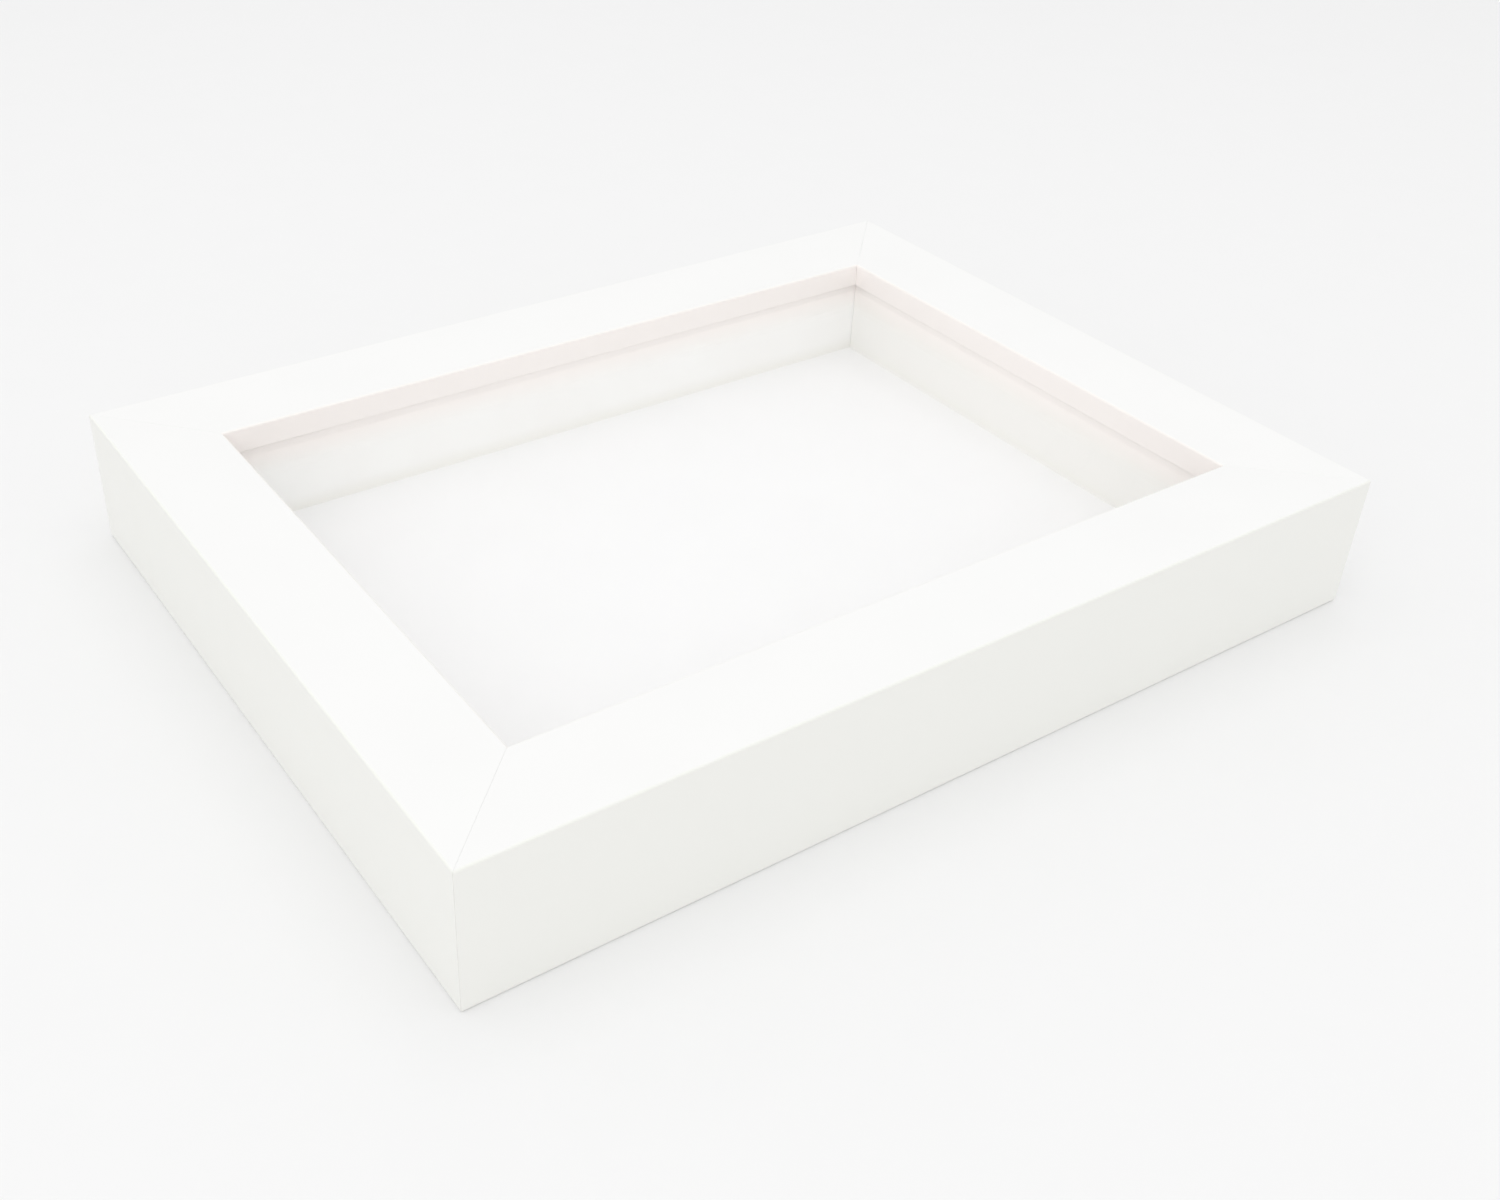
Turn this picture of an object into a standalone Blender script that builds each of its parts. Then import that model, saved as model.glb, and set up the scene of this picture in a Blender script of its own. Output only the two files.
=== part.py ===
# Shadow box for a 5 x 7 inch picture: four mitred rails, glass, spacers and a backing held by turn buttons.
# The box lies on its back. X runs along its long side, Y along its short side, and Z out of its face.
# The origin is the middle of the plane that the rails' backs rest on.

from collections import namedtuple
from math import acos, cos, pi, radians, sin, sqrt

import bpy
import bmesh
from mathutils import Matrix, Vector

MM = 0.001
INCH = 25.4 * MM

# What the box is made for
PANE_LONG = 7 * INCH
PANE_SHORT = 5 * INCH
BOX_DEPTH = 30.0 * MM

# Moulding that the rails are cut from
FACE_WIDTH = 21.0 * MM
LIP_OVERLAP = 4.8 * MM          # how far the lip reaches in past the rabbet wall
LIP_UNDERSIDE = 23.9 * MM       # height of the rabbet's floor, where the glass bears
FACE_FALL = 0.5 * MM            # the face is this much lower at the sight edge
EDGE_RADIUS = 0.9 * MM
EDGE_SEGMENTS = 3
RIM_WIDTH = 6.0 * MM            # the part of the rail's back that rests on the table or the wall
BACK_STEP = 1.9 * MM            # depth of the step that takes the hardware

# Fits
PANE_CLEARANCE = 0.8 * MM       # from the pane's edge to the rabbet wall, on each side
CONTACT_GAP = 0.3 * MM          # left between two pieces that touch
MITRE_GAP = 0.1 * MM            # left between two rails at their joint

# What is stacked in the rabbet
GLASS_THICKNESS = 2.0 * MM
SPACER_THICKNESS = 3.0 * MM
BOARD_THICKNESS = 0.6 * MM
PANEL_THICKNESS = 1.6 * MM

# V-nails that hold the mitres
V_NAIL_LEG = 4.6 * MM
V_NAIL_THICKNESS = 0.5 * MM
V_NAIL_DEPTH = 7.0 * MM
V_NAIL_SUNK = 0.4 * MM
V_NAIL_SETBACKS = {"outer": 2.6 * MM, "inner": 9.6 * MM}    # from the box's outer faces to the nail's apex

# Turn buttons and their screws
BUTTON_THICKNESS = 0.6 * MM
BUTTON_PIVOT_RADIUS = 3.8 * MM
BUTTON_TIP_RADIUS = 2.8 * MM
BUTTON_LENGTH = 10.2 * MM       # from the pivot to the tip's centre
BUTTON_ARC_POINTS = 10
SCREW_SHANK_RADIUS = 1.1 * MM
SCREW_HEAD_RADIUS = 2.2 * MM
SCREW_HEAD_THICKNESS = 0.75 * MM
SCREW_UNDERHEAD_GAP = 0.1 * MM
SCREW_LENGTH = 9.0 * MM
SCREW_POINT = 2.4 * MM

# Sawtooth hangers and their nails
HANGER_LENGTH = 44.0 * MM
HANGER_WIDTH = 8.0 * MM
HANGER_THICKNESS = 0.5 * MM
HANGER_RISE = 0.9 * MM          # how far the toothed middle stands off its two ends
HANGER_FOOT = 7.0 * MM
HANGER_RAMP = 2.0 * MM
TOOTH_COUNT = 8
TOOTH_PITCH = 3.0 * MM
TOOTH_DEPTH = 1.2 * MM
NAIL_SHANK_RADIUS = 0.7 * MM
NAIL_HEAD_RADIUS = 1.7 * MM
NAIL_HEAD_THICKNESS = 0.5 * MM
NAIL_LENGTH = 8.0 * MM
NAIL_POINT = 1.6 * MM

ROUND_STEPS = 16
CUT_PAST = 2.0 * MM             # how far a cutter runs out of what it cuts

# Sizes that follow
RABBET_LONG = PANE_LONG + 2 * PANE_CLEARANCE
RABBET_SHORT = PANE_SHORT + 2 * PANE_CLEARANCE
RABBET_WALL = FACE_WIDTH - LIP_OVERLAP                      # from the outer face to the rabbet wall
OUTER_LONG = RABBET_LONG + 2 * RABBET_WALL
OUTER_SHORT = RABBET_SHORT + 2 * RABBET_WALL
HARDWARE_LINE = (RIM_WIDTH + RABBET_WALL) / 2               # middle of the back step
PANEL_TOP = BACK_STEP + PANEL_THICKNESS
BOARD_BOTTOM = PANEL_TOP + CONTACT_GAP
BOARD_TOP = BOARD_BOTTOM + BOARD_THICKNESS
GLASS_TOP = LIP_UNDERSIDE - CONTACT_GAP
GLASS_BOTTOM = GLASS_TOP - GLASS_THICKNESS
BUTTON_TOP = BACK_STEP - CONTACT_GAP
BUTTON_BOTTOM = BUTTON_TOP - BUTTON_THICKNESS
BUTTON_SPACING = RABBET_LONG / 2
NAIL_REACH = (HANGER_LENGTH - HANGER_FOOT) / 2              # from a hanger's middle to its nails

# The four sides in order round the box. offset is from the middle to the outer face, and turn is about Z.
Side = namedtuple("Side", "name length offset turn")
SIDES = [
    Side("bottom", OUTER_LONG, OUTER_SHORT / 2, 0.0),
    Side("right", OUTER_SHORT, OUTER_LONG / 2, pi / 2),
    Side("top", OUTER_LONG, OUTER_SHORT / 2, pi),
    Side("left", OUTER_SHORT, OUTER_LONG / 2, 3 * pi / 2),
]
# The corner at the start of each side
CORNERS = ["bottom_left", "bottom_right", "top_right", "top_left"]
# The two sides that carry a hanger, and what the box is called when it hangs from each
HANGERS = {"top": "landscape", "left": "portrait"}
# The two sides that carry turn buttons
BUTTON_SIDES = ("bottom", "top")

FINISHES = {
    "white_paint": ((0.87, 0.87, 0.85), 0.45, 0.0),
    "clear_glass": ((0.95, 0.97, 0.96), 0.03, 0.0),
    "white_board": ((0.88, 0.88, 0.87), 0.85, 0.0),
    "white_spacer": ((0.86, 0.86, 0.85), 0.75, 0.0),
    "brown_hardboard": ((0.27, 0.16, 0.09), 0.70, 0.0),
    "zinc_steel": ((0.62, 0.63, 0.64), 0.35, 1.0),
    "brassed_steel": ((0.72, 0.58, 0.30), 0.35, 1.0),
}


def clear_scene():
    for old in list(bpy.data.objects):
        bpy.data.objects.remove(old, do_unlink=True)
    for old in list(bpy.data.collections):
        bpy.data.collections.remove(old)


def make_collection(name):
    collection = bpy.data.collections.new(name)
    bpy.context.scene.collection.children.link(collection)
    return collection


def make_material(name):
    colour, roughness, metallic = FINISHES[name]
    material = bpy.data.materials.new(name)
    material.use_nodes = True
    shader = material.node_tree.nodes["Principled BSDF"]
    shader.inputs["Base Color"].default_value = (*colour, 1.0)
    shader.inputs["Roughness"].default_value = roughness
    shader.inputs["Metallic"].default_value = metallic
    if name == "clear_glass":
        shader.inputs["Transmission Weight"].default_value = 1.0
    return material


def add_part(name, mesh, finish, place=Matrix.Identity(4)):
    part = bpy.data.objects.new(name, mesh)
    part.matrix_world = place
    if not mesh.materials:
        mesh.materials.append(materials[finish])
    parts.objects.link(part)
    return part


def add_cutter(name, mesh, place=Matrix.Identity(4)):
    cutter = bpy.data.objects.new(name, mesh)
    cutter.matrix_world = place
    cutter.hide_render = True
    cutter.display_type = "WIRE"
    cutters.objects.link(cutter)
    return cutter


def cut(part, cutter):
    boolean = part.modifiers.new(cutter.name, "BOOLEAN")
    boolean.operation = "DIFFERENCE"
    boolean.solver = "EXACT"
    boolean.object = cutter


def block_mesh(name, low, high, round_edges=None):
    # A box between two corners. round_edges says, from the middle of an edge, whether it is rounded off.
    low = Vector(low)
    high = Vector(high)
    shape = bmesh.new()
    size = high - low
    place = Matrix.Translation((low + high) / 2) @ Matrix.Diagonal((*size, 1.0))
    bmesh.ops.create_cube(shape, size=1.0, matrix=place)
    if round_edges:
        chosen = [edge for edge in shape.edges if round_edges((edge.verts[0].co + edge.verts[1].co) / 2)]
        bmesh.ops.bevel(shape, geom=chosen, offset=EDGE_RADIUS, offset_type="OFFSET", segments=EDGE_SEGMENTS,
                        profile=0.5, affect="EDGES")
    mesh = bpy.data.meshes.new(name)
    shape.to_mesh(mesh)
    shape.free()
    return mesh


def flat_mesh(name, outlines, thickness):
    # A flat plate in the XY plane with its middle at Z = 0. Outlines after the first one are holes.
    curve = bpy.data.curves.new(name, "CURVE")
    curve.dimensions = "2D"
    curve.fill_mode = "BOTH"
    curve.extrude = thickness / 2
    for outline in outlines:
        spline = curve.splines.new("POLY")
        spline.points.add(len(outline) - 1)
        spline.use_cyclic_u = True
        for point, (x, y) in zip(spline.points, outline):
            point.co = (x, y, 0.0, 1.0)
    return welded_mesh(name, curve)


def welded_mesh(name, curve):
    source = bpy.data.objects.new(name, curve)
    bpy.context.scene.collection.objects.link(source)
    graph = bpy.context.evaluated_depsgraph_get()
    mesh = bpy.data.meshes.new_from_object(source.evaluated_get(graph))
    bpy.data.objects.remove(source, do_unlink=True)
    bpy.data.curves.remove(curve)
    shape = bmesh.new()
    shape.from_mesh(mesh)
    bmesh.ops.remove_doubles(shape, verts=shape.verts, dist=0.001 * MM)
    shape.to_mesh(mesh)
    shape.free()
    mesh.name = name
    return mesh


def arc(centre_x, radius, start, end, count):
    # Points of an arc about (centre_x, 0), both ends included
    angles = [start + (end - start) * step / (count - 1) for step in range(count)]
    return [(centre_x + radius * cos(angle), radius * sin(angle)) for angle in angles]


def circle(radius, centre_x=0.0, centre_y=0.0):
    angles = [2 * pi * step / ROUND_STEPS for step in range(ROUND_STEPS)]
    return [(centre_x + radius * cos(angle), centre_y + radius * sin(angle)) for angle in angles]


def turned_mesh(name, profile):
    # A round piece: the profile's points are (radius, height) from the top of the axis down to its foot
    outline = bpy.data.meshes.new(name + "_profile")
    points = [(radius, 0.0, height) for radius, height in profile]
    outline.from_pydata(points, [(step, step + 1) for step in range(len(points) - 1)], [])
    source = bpy.data.objects.new(name, outline)
    bpy.context.scene.collection.objects.link(source)
    screw = source.modifiers.new("turned", "SCREW")
    screw.axis = "Z"
    screw.steps = ROUND_STEPS
    screw.render_steps = ROUND_STEPS
    screw.use_merge_vertices = True
    screw.merge_threshold = 0.001 * MM
    graph = bpy.context.evaluated_depsgraph_get()
    mesh = bpy.data.meshes.new_from_object(source.evaluated_get(graph))
    bpy.data.objects.remove(source, do_unlink=True)
    bpy.data.meshes.remove(outline)
    mesh.name = name
    mesh.shade_smooth()
    mesh.set_sharp_from_angle(angle=radians(40))
    return mesh


def side_place(side):
    # Puts a shape drawn beside the X axis onto a side: local X runs along the rail and local Y into the box
    return Matrix.Rotation(side.turn, 4, "Z") @ Matrix.Translation((0.0, -side.offset, 0.0))


def pin_profile(under_head, shank_radius, head_radius, head_thickness, length, point):
    # A domed head below its bearing face at under_head, and a pointed shank above it
    crown = under_head - head_thickness
    return [
        (0.0, under_head + length),
        (shank_radius, under_head + length - point),
        (shank_radius, under_head),
        (head_radius, under_head),
        (head_radius, under_head - 0.4 * head_thickness),
        (0.8 * head_radius, crown + 0.12 * head_thickness),
        (0.45 * head_radius, crown),
        (0.0, crown),
    ]


def rail_mesh(name, length):
    # The moulding before it is mitred: face at the top, outer side at Y = 0, its top outer edge rounded
    def is_top_outer_edge(middle):
        return middle.z > BOX_DEPTH - 0.1 * MM and middle.y < 0.1 * MM

    return block_mesh(name, (-length / 2, 0, 0), (length / 2, FACE_WIDTH, BOX_DEPTH), is_top_outer_edge)


def mitre_cutter_mesh():
    # Everything beyond a plane at 45 degrees that passes half a mitre gap short of the corner, for the +X end
    reach = FACE_WIDTH + CUT_PAST
    shift = MITRE_GAP / sqrt(2)
    outline = [(CUT_PAST - shift, -CUT_PAST), (-reach - shift, reach), (CUT_PAST + reach, reach),
               (CUT_PAST + reach, -CUT_PAST)]
    return flat_mesh("mitre", [outline], BOX_DEPTH + 2 * CUT_PAST)


def face_plane_mesh(length):
    # What lies above the face, which falls from the rounded outer edge to the sight edge
    mesh = block_mesh("face", (-length / 2 - CUT_PAST, EDGE_RADIUS, BOX_DEPTH),
                      (length / 2 + CUT_PAST, FACE_WIDTH + CUT_PAST, BOX_DEPTH + CUT_PAST))
    slope = FACE_FALL / (FACE_WIDTH - EDGE_RADIUS)
    for vertex in mesh.vertices:
        if vertex.co.z < BOX_DEPTH + 0.1 * MM:
            vertex.co.z -= slope * (vertex.co.y - EDGE_RADIUS)
    return mesh


def v_outline(grow):
    # The V seen from above: its apex points at the box's corner and each leg runs along one rail
    inner = V_NAIL_THICKNESS + grow
    tip = V_NAIL_LEG + grow
    return [(-grow, -grow), (tip, -grow), (tip, inner), (inner, inner), (inner, tip), (-grow, tip)]


def corner_place(index, setback, height):
    # The apex of a V-nail at the corner where side number index starts
    side = SIDES[index]
    return side_place(side) @ Matrix.Translation((setback - side.length / 2, setback, height))


def v_nail_middle(which):
    # The outer nail is driven into the rim and the inner one into the step
    floor = 0.0 if which == "outer" else BACK_STEP
    return floor + V_NAIL_SUNK + V_NAIL_DEPTH / 2


def cut_section(rail, side, place):
    # The rabbet, the step in the back and the fall of the face, all along the rail
    ends = side.length / 2 + CUT_PAST
    past = FACE_WIDTH + CUT_PAST
    rabbet = block_mesh("rabbet", (-ends, RABBET_WALL, -CUT_PAST), (ends, past, LIP_UNDERSIDE))
    step = block_mesh("back_step", (-ends, RIM_WIDTH, -CUT_PAST), (ends, past, BACK_STEP))
    cut(rail, add_cutter(side.name + "_rabbet", rabbet, place))
    cut(rail, add_cutter(side.name + "_back_step", step, place))
    cut(rail, add_cutter(side.name + "_face", face_plane_mesh(side.length), place))


def cut_mitres(rail, side, place):
    mitre = mitre_cutter_mesh()
    half_length_above = Matrix.Translation((side.length / 2, 0, BOX_DEPTH / 2))
    half_length_below = Matrix.Translation((side.length / 2, 0, -BOX_DEPTH / 2))
    end = place @ half_length_above
    start = place @ Matrix.Rotation(pi, 4, "Y") @ half_length_below
    cut(rail, add_cutter(side.name + "_mitre_end", mitre, end))
    cut(rail, add_cutter(side.name + "_mitre_start", mitre, start))


def cut_v_slots(rail, side, index):
    # Half of every V-nail at the rail's two ends stands in this rail
    for corner in (index, (index + 1) % len(SIDES)):
        for which, setback in V_NAIL_SETBACKS.items():
            depth = V_NAIL_DEPTH + 2 * CONTACT_GAP + CUT_PAST
            top = v_nail_middle(which) + V_NAIL_DEPTH / 2 + CONTACT_GAP
            slot = flat_mesh("v_slot", [v_outline(CONTACT_GAP)], depth)
            slot_place = corner_place(corner, setback, top - depth / 2)
            cut(rail, add_cutter(f"{side.name}_{which}_slot_{CORNERS[corner]}", slot, slot_place))


def drill(rail, side, place, fixings):
    for number, (radius, top, x) in enumerate(fixings[side.name]):
        hole = turned_mesh("hole", [(0, top), (radius, top), (radius, -CUT_PAST), (0, -CUT_PAST)])
        hole_place = place @ Matrix.Translation((x, HARDWARE_LINE, 0))
        cut(rail, add_cutter(f"{side.name}_hole_{number}", hole, hole_place))


def make_rails():
    fixings = fixing_holes()
    for index, side in enumerate(SIDES):
        name = side.name + "_rail"
        place = side_place(side)
        rail = add_part(name, rail_mesh(name, side.length), "white_paint", place)
        cut_section(rail, side, place)
        cut_mitres(rail, side, place)
        cut_v_slots(rail, side, index)
        drill(rail, side, place, fixings)


def make_v_nails():
    mesh = flat_mesh("v_nail", [v_outline(0.0)], V_NAIL_DEPTH)
    for index, corner in enumerate(CORNERS):
        for which, setback in V_NAIL_SETBACKS.items():
            place = corner_place(index, setback, v_nail_middle(which))
            add_part(f"v_nail_{which}_{corner}", mesh, "zinc_steel", place)


def make_infill():
    # Glass, spacers, display board and back panel, in the order they drop into the rabbet
    def sheet(name, bottom, top, finish):
        half = Vector((PANE_LONG / 2, PANE_SHORT / 2))
        add_part(name, block_mesh(name, (-half.x, -half.y, bottom), (half.x, half.y, top)), finish)

    sheet("glass_pane", GLASS_BOTTOM, GLASS_TOP, "clear_glass")
    spacer_low = BOARD_TOP + CONTACT_GAP
    spacer_high = GLASS_BOTTOM - CONTACT_GAP
    near = RABBET_WALL + CONTACT_GAP
    for side in SIDES:
        half_run = side.length / 2 - near
        if side.name in ("left", "right"):
            half_run -= SPACER_THICKNESS + CONTACT_GAP
        name = side.name + "_spacer"
        far = near + SPACER_THICKNESS
        strip = block_mesh(name, (-half_run, near, spacer_low), (half_run, far, spacer_high))
        add_part(name, strip, "white_spacer", side_place(side))
    sheet("display_board", BOARD_BOTTOM, BOARD_TOP, "white_board")
    sheet("back_panel", BACK_STEP, PANEL_TOP, "brown_hardboard")


def button_outline():
    # A teardrop: two arcs joined by their common tangents
    lean = acos((BUTTON_PIVOT_RADIUS - BUTTON_TIP_RADIUS) / BUTTON_LENGTH)
    pivot_end = arc(0.0, BUTTON_PIVOT_RADIUS, lean, 2 * pi - lean, 2 * BUTTON_ARC_POINTS)
    tip_end = arc(BUTTON_LENGTH, BUTTON_TIP_RADIUS, -lean, lean, BUTTON_ARC_POINTS)
    return pivot_end + tip_end


def make_turn_buttons():
    # Two on each long rail, closed: each reaches in from its screw and bears on the back panel
    hole = circle(SCREW_SHANK_RADIUS + CONTACT_GAP)
    button = flat_mesh("turn_button", [button_outline(), hole], BUTTON_THICKNESS)
    screw = turned_mesh("button_screw", pin_profile(
        BUTTON_BOTTOM - SCREW_UNDERHEAD_GAP, SCREW_SHANK_RADIUS, SCREW_HEAD_RADIUS, SCREW_HEAD_THICKNESS,
        SCREW_LENGTH, SCREW_POINT))
    lift = Matrix.Translation((0, 0, (BUTTON_TOP + BUTTON_BOTTOM) / 2))
    point_in = Matrix.Rotation(pi / 2, 4, "Z")
    for side in SIDES:
        if side.name not in BUTTON_SIDES:
            continue
        for direction in (-1, 1):
            pivot = side_place(side) @ Matrix.Translation((direction * BUTTON_SPACING / 2, HARDWARE_LINE, 0))
            end = "left" if pivot.translation.x < 0 else "right"
            add_part(f"turn_button_{side.name}_{end}", button, "zinc_steel", pivot @ lift @ point_in)
            add_part(f"button_screw_{side.name}_{end}", screw, "zinc_steel", pivot)


def hanger_profile():
    # Side view of the bent strip, from one foot to the other: the feet lie high, against the rail
    foot = BACK_STEP - CONTACT_GAP
    half = HANGER_LENGTH / 2
    stations = [-half, -half + HANGER_FOOT, -half + HANGER_FOOT + HANGER_RAMP]
    stations += [-x for x in reversed(stations)]
    drops = [0.0, 0.0, HANGER_RISE, HANGER_RISE, 0.0, 0.0]
    upper = [(x, foot - drop) for x, drop in zip(stations, drops)]
    lower = [(x, foot - drop - HANGER_THICKNESS) for x, drop in zip(stations, drops)]
    return upper + lower[::-1]


def tooth_outline():
    # What the teeth are cut out with: a zigzag along the hanger's lower edge
    edge = HANGER_WIDTH / 2
    half = TOOTH_COUNT * TOOTH_PITCH / 2
    zigzag = []
    for number in range(TOOTH_COUNT):
        x = number * TOOTH_PITCH - half
        zigzag += [(x, edge), (x + TOOTH_PITCH / 2, edge - TOOTH_DEPTH)]
    return zigzag + [(half, edge), (half, edge + CUT_PAST), (-half, edge + CUT_PAST)]


def make_hangers():
    strip = flat_mesh("sawtooth_hanger", [hanger_profile()], HANGER_WIDTH)
    strip.transform(Matrix.Rotation(pi / 2, 4, "X"))
    teeth = flat_mesh("teeth", [tooth_outline()], 2 * BACK_STEP)
    radius = NAIL_SHANK_RADIUS + CONTACT_GAP
    nail_hole = turned_mesh("nail_hole", [(0, BACK_STEP), (radius, BACK_STEP), (radius, 0), (0, 0)])
    under_head = BACK_STEP - CONTACT_GAP - HANGER_THICKNESS - SCREW_UNDERHEAD_GAP
    nail = turned_mesh("hanger_nail", pin_profile(under_head, NAIL_SHANK_RADIUS, NAIL_HEAD_RADIUS,
                                                  NAIL_HEAD_THICKNESS, NAIL_LENGTH, NAIL_POINT))
    for side in SIDES:
        if side.name not in HANGERS:
            continue
        way_up = HANGERS[side.name]
        place = side_place(side) @ Matrix.Translation((0, HARDWARE_LINE, 0))
        hanger = add_part(f"sawtooth_hanger_{way_up}", strip, "brassed_steel", place)
        cut(hanger, add_cutter(f"{way_up}_teeth", teeth, place))
        for number, x in enumerate((-NAIL_REACH, NAIL_REACH), start=1):
            nail_place = place @ Matrix.Translation((x, 0, 0))
            cut(hanger, add_cutter(f"{way_up}_nail_hole_{number}", nail_hole, nail_place))
            add_part(f"hanger_nail_{way_up}_{number}", nail, "brassed_steel", nail_place)


def fixing_holes():
    # Pilot holes in each rail: radius, height of the hole's end, and place along the rail
    nail = (NAIL_SHANK_RADIUS + CONTACT_GAP, BACK_STEP + NAIL_LENGTH)
    screw = (SCREW_SHANK_RADIUS + CONTACT_GAP, BACK_STEP + SCREW_LENGTH)
    holes = {side.name: [] for side in SIDES}
    for name in BUTTON_SIDES:
        holes[name] += [(*screw, x) for x in (-BUTTON_SPACING / 2, BUTTON_SPACING / 2)]
    for name in HANGERS:
        holes[name] += [(*nail, x) for x in (-NAIL_REACH, NAIL_REACH)]
    return holes


clear_scene()
parts = make_collection("shadow_box")
cutters = make_collection("shadow_box_cutters")
materials = {name: make_material(name) for name in FINISHES}
make_rails()
make_v_nails()
make_infill()
make_turn_buttons()
make_hangers()
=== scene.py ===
from math import acos, cos, pi, radians, sin, sqrt

import bmesh
import bpy
from mathutils import Euler, Matrix, Vector


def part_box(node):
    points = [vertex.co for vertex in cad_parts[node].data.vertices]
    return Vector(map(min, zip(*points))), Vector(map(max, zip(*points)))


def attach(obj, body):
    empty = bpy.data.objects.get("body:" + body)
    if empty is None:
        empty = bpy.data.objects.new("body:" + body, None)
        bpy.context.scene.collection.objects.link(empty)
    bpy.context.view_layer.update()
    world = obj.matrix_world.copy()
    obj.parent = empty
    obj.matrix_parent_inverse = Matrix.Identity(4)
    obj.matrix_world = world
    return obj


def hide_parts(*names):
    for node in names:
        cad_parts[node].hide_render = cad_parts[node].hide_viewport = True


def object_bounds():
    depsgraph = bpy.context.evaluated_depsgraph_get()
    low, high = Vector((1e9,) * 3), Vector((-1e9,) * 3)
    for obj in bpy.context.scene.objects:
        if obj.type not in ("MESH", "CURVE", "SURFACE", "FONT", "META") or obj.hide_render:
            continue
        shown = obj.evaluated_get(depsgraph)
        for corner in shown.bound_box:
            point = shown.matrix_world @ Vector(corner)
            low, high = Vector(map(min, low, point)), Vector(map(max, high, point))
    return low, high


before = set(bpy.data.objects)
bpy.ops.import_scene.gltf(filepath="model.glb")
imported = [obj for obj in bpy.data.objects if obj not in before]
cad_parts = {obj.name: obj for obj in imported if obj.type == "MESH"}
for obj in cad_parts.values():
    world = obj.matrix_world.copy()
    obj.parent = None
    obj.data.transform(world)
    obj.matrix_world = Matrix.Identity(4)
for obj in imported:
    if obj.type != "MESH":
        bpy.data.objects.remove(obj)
cadLow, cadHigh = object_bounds()
mm = 0.001
print("frame loaded, box is", [round(v / mm, 1) for v in cadHigh - cadLow], "mm")

# Lengths read off the frame: the outer sides, the rabbet wall and the heights that the pieces bear on
halfLong = cadHigh.x
halfShort = cadHigh.y
boxDepth = cadHigh.z
glassLow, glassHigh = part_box("glass_pane")
panelLow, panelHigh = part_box("back_panel")
boardLow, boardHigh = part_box("display_board")
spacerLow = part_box("bottom_spacer")[0]
contactGap = boardLow.z - panelHigh.z
stepDepth = panelLow.z
lipUnderside = glassHigh.z + contactGap
paneThickness = glassHigh.z - glassLow.z
rabbetWall = spacerLow.y - contactGap + halfShort

# The four sides in order round the box: half its length, distance out to its face, and turn
sides = {
    "bottom": (halfLong, halfShort, 0.0),
    "right": (halfShort, halfLong, pi / 2),
    "top": (halfLong, halfShort, pi),
    "left": (halfShort, halfLong, 3 * pi / 2),
}


def sidePlace(side):
    _, out, turn = sides[side]
    return Matrix.Rotation(turn, 4, "Z") @ Matrix.Translation((0, -out, 0))


def localBox(node, place):
    # The CAD box of a node, as (low, high) about the given place
    ends = [place.inverted() @ Vector(end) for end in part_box(node)]
    return [Vector(map(pick, *ends)) for pick in (min, max)]


def smoothStep(value, low, high):
    t = min(max((value - low) / (high - low), 0), 1)
    return t * t * (3 - 2 * t)


# Meshes


def addPiece(name, mesh, place, material, body, stands):
    # One finished piece: placed, painted, and told which body it rides on and which CAD nodes it stands for
    piece = bpy.data.objects.new(name, mesh)
    bpy.context.scene.collection.objects.link(piece)
    piece.matrix_world = place
    mesh.materials.clear()
    mesh.materials.append(material)
    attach(piece, body)
    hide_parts(*stands)
    return piece


def bridge(shape, first, second):
    count = len(first)
    for i in range(count):
        j = (i + 1) % count
        shape.faces.new((first[i], first[j], second[j], second[i]))


def ringMesh(name, rings, ends="caps", smooth=35):
    # Skins a row of rings that all have the same number of points
    # ends is caps, or joined for a piece with a hole through it
    shape = bmesh.new()
    rows = [[shape.verts.new(point) for point in ring] for ring in rings]
    for first, second in zip(rows, rows[1:]):
        bridge(shape, first, second)
    if ends == "joined":
        bridge(shape, rows[-1], rows[0])
    else:
        shape.faces.new(rows[0][::-1])
        shape.faces.new(rows[-1])
    bmesh.ops.recalc_face_normals(shape, faces=shape.faces)
    return finishMesh(name, shape, smooth)


def finishMesh(name, shape, smooth):
    mesh = bpy.data.meshes.new(name)
    shape.to_mesh(mesh)
    shape.free()
    mesh.shade_smooth()
    mesh.set_sharp_from_angle(angle=radians(smooth))
    return mesh


def flattenNormals(piece):
    # Keeps big flat faces flat in the light where they meet a narrow rounding
    weighted = piece.modifiers.new("flat faces", "WEIGHTED_NORMAL")
    weighted.mode = "FACE_AREA"
    weighted.weight = 50
    weighted.keep_sharp = True


def easedBlock(name, low, high, radius, segments=3):
    # A board or strip with every arris eased
    low, high = Vector(low), Vector(high)
    shape = bmesh.new()
    place = Matrix.Translation((low + high) / 2) @ Matrix.Diagonal((*(high - low), 1))
    bmesh.ops.create_cube(shape, size=1, matrix=place)
    bmesh.ops.bevel(shape, geom=shape.edges[:], offset=radius, segments=segments, profile=0.5, affect="EDGES")
    return finishMesh(name, shape, 30)


def bake(piece):
    # Settles a piece's modifiers into its mesh
    graph = bpy.context.evaluated_depsgraph_get()
    mesh = bpy.data.meshes.new_from_object(piece.evaluated_get(graph))
    piece.modifiers.clear()
    piece.data = mesh


def circlePoints(radius, z, count, middle=(0, 0)):
    angles = [2 * pi * i / count for i in range(count)]
    return [(middle[0] + radius * cos(a), middle[1] + radius * sin(a), z) for a in angles]


# Shader groups


def makeGroup(name, inputs, outputs):
    group = bpy.data.node_groups.new(name, "ShaderNodeTree")
    for label, kind, value in inputs:
        socket = group.interface.new_socket(label, in_out="INPUT", socket_type=kind)
        if value is not None:
            socket.default_value = value
    for label, kind in outputs:
        group.interface.new_socket(label, in_out="OUTPUT", socket_type=kind)
    entry = group.nodes.new("NodeGroupInput")
    leave = group.nodes.new("NodeGroupOutput")
    return group, entry.outputs, leave.inputs


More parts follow.
